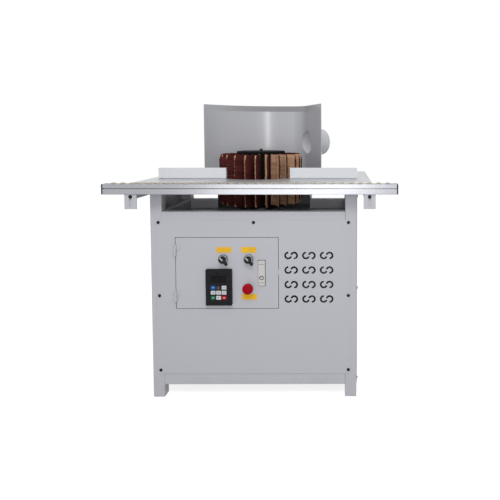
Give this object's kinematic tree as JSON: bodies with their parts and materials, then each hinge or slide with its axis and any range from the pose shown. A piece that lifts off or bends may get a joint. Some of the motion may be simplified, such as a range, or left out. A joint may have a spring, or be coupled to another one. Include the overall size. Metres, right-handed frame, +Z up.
{
  "type": "brush sanding machine",
  "caption": "Floor-standing wood sander with an upright flap brush rising through a table, sliding fences, a roller rail, a dust hood and a cabinet with a control door.",
  "frame": {"origin": "On the floor, at the middle of the box that holds the whole machine.", "axes": "+X to the operator's right, +Y away from the operator, +Z up."},
  "size_m": [1.1, 0.6406, 1.167],
  "materials": {
    "grey_paint": "satin powder coat",
    "table_steel": "ground",
    "rail_aluminium": "satin anodised",
    "hood_paint": "satin paint",
    "fence_aluminium": "satin anodised",
    "black_steel": "black oxide",
    "black_disc": "black anodised",
    "core_aluminium": "dark anodised",
    "abrasive_cloth": "slashed abrasive cloth",
    "fibre": "stiff plant fibre",
    "bright_steel": "ground",
    "cast_iron": "painted casting",
    "motor_aluminium": "cast",
    "plate_steel": "primer",
    "black_plastic": "moulded",
    "roller_plastic": "moulded nylon",
    "chrome_ring": "plated",
    "yellow_plastic": "moulded",
    "red_plastic": "moulded",
    "controller_plastic": "moulded",
    "lock_grey": "die cast",
    "lock_white": "die cast",
    "lock_chrome": "plated",
    "key_blue": "moulded",
    "key_white": "moulded",
    "key_green": "moulded",
    "key_red": "moulded"
  },
  "bodies": {
    "cabinet": {"frame_legs": "grey_paint", "frame_rails": "grey_paint", "table_frame": "grey_paint", "table_plate": "table_steel", "front_panel": "grey_paint", "panel_screws": "black_steel", "side_panels": "grey_paint", "rear_panel": "grey_paint", "cable_gland": "black_plastic", "electrical_box": "grey_paint", "switchgear": "black_plastic", "hinge_frame_leaves": "grey_paint", "rail_arms": "grey_paint", "table_bolts": "black_steel", "dust_hood": "hood_paint", "dust_port": "hood_paint", "brush_guard": "grey_paint", "lift_plates": "plate_steel", "guide_columns": "bright_steel", "lift_motor": "cast_iron"},
    "carriage": {"carriage_plate": "cast_iron", "spindle_housing": "cast_iron", "spindle_bearings": "bright_steel", "main_motor": "motor_aluminium"},
    "brush": {"spindle_shaft": "bright_steel", "brush_core": "core_aluminium", "brush_discs": "black_disc", "abrasive_flaps": "abrasive_cloth", "bristle_packs": "fibre", "centre_screw": "black_steel"},
    "lift_screw": {"lift_screw": "bright_steel"},
    "rail": {"roller_rail": "rail_aluminium", "rail_end_caps": "black_plastic", "rail_brackets": "grey_paint", "guide_rollers": "roller_plastic"},
    "left_fence": {"left_fence": "fence_aluminium"},
    "right_fence": {"right_fence": "fence_aluminium"},
    "door": {"control_door": "grey_paint", "hinge_door_leaves": "grey_paint", "controller_case": "controller_plastic", "controller_keypad": "controller_plastic", "selector_bodies": "chrome_ring", "stop_body": "chrome_ring", "lock_case": "lock_grey"},
    "left_selector": {"left_selector": "black_plastic"},
    "right_selector": {"right_selector": "black_plastic"},
    "stop_stem": {"stop_stem": "chrome_ring"},
    "stop_head": {"stop_head": "red_plastic"},
    "lock_lever": {"lock_lever": "lock_white"},
    "lock_button": {"lock_button": "lock_chrome"},
    "lock_bolt": {"lock_bolt": "bright_steel"},
    "speed_knob": {"speed_knob": "black_plastic"},
    "key_1_1": {"key_1_1": "key_blue"},
    "key_1_3": {"key_1_3": "key_white"},
    "key_2_1": {"key_2_1": "key_white"},
    "key_2_2": {"key_2_2": "key_white"},
    "key_2_3": {"key_2_3": "key_white"},
    "key_3_1": {"key_3_1": "key_green"},
    "key_3_2": {"key_3_2": "key_white"},
    "key_3_3": {"key_3_3": "key_red"}
  },
  "joints": [
    {"name": "carriage_lift", "type": "slide", "parent": "cabinet", "child": "carriage", "axis": [0, 0, 1], "range_m": [0, 0.06]},
    {"name": "brush_spin", "type": "hinge", "parent": "carriage", "child": "brush", "pos_m": [-0.018, 0.03467, 0.836], "axis": [0, 0, 1], "continuous": true},
    {"name": "lift_screw_turn", "type": "hinge", "parent": "cabinet", "child": "lift_screw", "pos_m": [-0.018, -0.09433, 0.45], "axis": [0, 0, -1], "range_deg": [0, 2161]},
    {"name": "rail_lift", "type": "slide", "parent": "cabinet", "child": "rail", "axis": [0, 0, 1], "range_m": [0, 0.035]},
    {"name": "left_fence_slide", "type": "slide", "parent": "cabinet", "child": "left_fence", "axis": [0, -1, 0], "range_m": [0, 0.025]},
    {"name": "right_fence_slide", "type": "slide", "parent": "cabinet", "child": "right_fence", "axis": [0, -1, 0], "range_m": [0, 0.025]},
    {"name": "door_swing", "type": "hinge", "parent": "cabinet", "child": "door", "pos_m": [-0.302, -0.26233, 0.4915], "axis": [0, 0, -1], "range_deg": [0, 110]},
    {"name": "left_selector_turn", "type": "hinge", "parent": "door", "child": "left_selector", "pos_m": [-0.1175, -0.27033, 0.5485], "axis": [0, 1, 0], "range_deg": [0, 90]},
    {"name": "right_selector_turn", "type": "hinge", "parent": "door", "child": "right_selector", "pos_m": [-0.0195, -0.27033, 0.5485], "axis": [0, 1, 0], "range_deg": [0, 90]},
    {"name": "stop_press", "type": "slide", "parent": "door", "child": "stop_stem", "axis": [0, 1, 0], "range_m": [0, 0.005], "stiffness_N_per_m": 1500},
    {"name": "stop_twist", "type": "hinge", "parent": "stop_stem", "child": "stop_head", "pos_m": [-0.02, -0.28033, 0.437], "axis": [0, 1, 0], "range_deg": [0, 35], "stiffness_Nm_per_rad": 0.2},
    {"name": "lever_flip", "type": "hinge", "parent": "door", "child": "lock_lever", "pos_m": [0.0306, -0.25883, 0.522], "axis": [-1, 0, 0], "range_deg": [0, 40]},
    {"name": "bolt_draw", "type": "slide", "parent": "door", "child": "lock_bolt", "axis": [-1, 0, 0], "range_m": [0, 0.0151]},
    {"name": "key_button_press", "type": "slide", "parent": "door", "child": "lock_button", "axis": [0, 1, 0], "range_m": [0, 0.003], "stiffness_N_per_m": 600},
    {"name": "speed_knob_turn", "type": "hinge", "parent": "door", "child": "speed_knob", "pos_m": [-0.1335, -0.27433, 0.4402], "axis": [0, 1, 0], "range_deg": [0, 270]},
    {"name": "key_1_1_press", "type": "slide", "parent": "door", "child": "key_1_1", "axis": [0, 1, 0], "range_m": [0, 0.001], "stiffness_N_per_m": 500},
    {"name": "key_1_3_press", "type": "slide", "parent": "door", "child": "key_1_3", "axis": [0, 1, 0], "range_m": [0, 0.001], "stiffness_N_per_m": 500},
    {"name": "key_2_1_press", "type": "slide", "parent": "door", "child": "key_2_1", "axis": [0, 1, 0], "range_m": [0, 0.001], "stiffness_N_per_m": 500},
    {"name": "key_2_2_press", "type": "slide", "parent": "door", "child": "key_2_2", "axis": [0, 1, 0], "range_m": [0, 0.001], "stiffness_N_per_m": 500},
    {"name": "key_2_3_press", "type": "slide", "parent": "door", "child": "key_2_3", "axis": [0, 1, 0], "range_m": [0, 0.001], "stiffness_N_per_m": 500},
    {"name": "key_3_1_press", "type": "slide", "parent": "door", "child": "key_3_1", "axis": [0, 1, 0], "range_m": [0, 0.001], "stiffness_N_per_m": 500},
    {"name": "key_3_2_press", "type": "slide", "parent": "door", "child": "key_3_2", "axis": [0, 1, 0], "range_m": [0, 0.001], "stiffness_N_per_m": 500},
    {"name": "key_3_3_press", "type": "slide", "parent": "door", "child": "key_3_3", "axis": [0, 1, 0], "range_m": [0, 0.001], "stiffness_N_per_m": 500}
  ],
  "couplings": [
    {"joint": "lift_screw_turn", "follows": "carriage_lift", "rad_per_m": 628.32},
    {"joint": "bolt_draw", "follows": "lever_flip", "m_per_rad": 0.0215}
  ]
}
